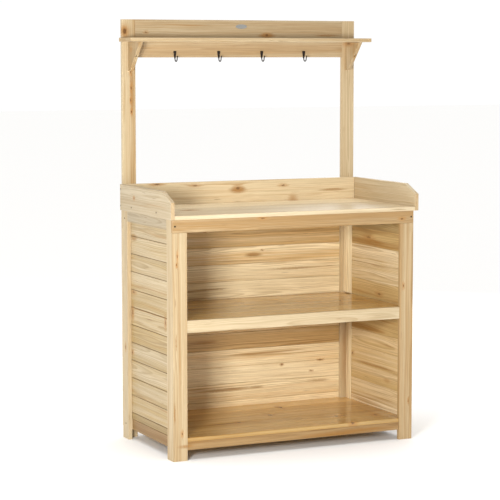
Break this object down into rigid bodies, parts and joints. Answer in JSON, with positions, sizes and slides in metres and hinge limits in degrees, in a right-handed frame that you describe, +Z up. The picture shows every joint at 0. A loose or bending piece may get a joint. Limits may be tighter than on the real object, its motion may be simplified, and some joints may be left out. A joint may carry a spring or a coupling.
{
  "type": "potting bench",
  "caption": "Wooden potting bench with a raised-edge worktop, open shelves below, slatted sides, and rear posts carrying a hook rail and a top shelf.",
  "frame": {"origin": "on the floor, under the middle of the bench's bounding box", "axes": "+X to the right when facing the open front, -Y out of the open front, +Z up"},
  "size_m": [1.03, 0.53, 1.62],
  "materials": {
    "frame_wood": "bare planed softwood, matt",
    "slat_wood": "bare planed softwood, matt",
    "board_wood": "bare planed softwood, matt",
    "hook_metal": "dark bronze lacquer, satin"
  },
  "bodies": {
    "root": {"back_cladding": "board_wood", "bottom_front_rail": "frame_wood", "bottom_rear_rail": "frame_wood", "bottom_shelf": "board_wood", "corner_batten_left": "frame_wood", "corner_batten_right": "frame_wood", "front_apron": "frame_wood", "front_leg_board_left": "frame_wood", "front_leg_board_right": "frame_wood", "front_stile_left": "frame_wood", "front_stile_right": "frame_wood", "hook_1": "hook_metal", "hook_2": "hook_metal", "hook_3": "hook_metal", "hook_4": "hook_metal", "mid_shelf": "board_wood", "mid_shelf_cleat_left": "frame_wood", "mid_shelf_cleat_right": "frame_wood", "mid_shelf_front_rail": "frame_wood", "rear_post_left": "frame_wood", "rear_post_right": "frame_wood", "rear_stile_left": "frame_wood", "rear_stile_right": "frame_wood", "rear_top_rail": "frame_wood", "shelf_bracket_left": "frame_wood", "shelf_bracket_right": "frame_wood", "side_bottom_rail_left": "frame_wood", "side_bottom_rail_right": "frame_wood", "side_slat_left_01": "slat_wood", "side_slat_left_02": "slat_wood", "side_slat_left_03": "slat_wood", "side_slat_left_04": "slat_wood", "side_slat_left_05": "slat_wood", "side_slat_left_06": "slat_wood", "side_slat_left_07": "slat_wood", "side_slat_left_08": "slat_wood", "side_slat_left_09": "slat_wood", "side_slat_left_10": "slat_wood", "side_slat_left_11": "slat_wood", "side_slat_left_12": "slat_wood", "side_slat_right_01": "slat_wood", "side_slat_right_02": "slat_wood", "side_slat_right_03": "slat_wood", "side_slat_right_04": "slat_wood", "side_slat_right_05": "slat_wood", "side_slat_right_06": "slat_wood", "side_slat_right_07": "slat_wood", "side_slat_right_08": "slat_wood", "side_slat_right_09": "slat_wood", "side_slat_right_10": "slat_wood", "side_slat_right_11": "slat_wood", "side_slat_right_12": "slat_wood", "side_top_rail_left": "frame_wood", "side_top_rail_right": "frame_wood", "top_back_rail": "board_wood", "top_shelf": "board_wood", "tray_back": "board_wood", "tray_side_left": "frame_wood", "tray_side_right": "frame_wood", "worktop": "board_wood"}
  },
  "joints": []
}
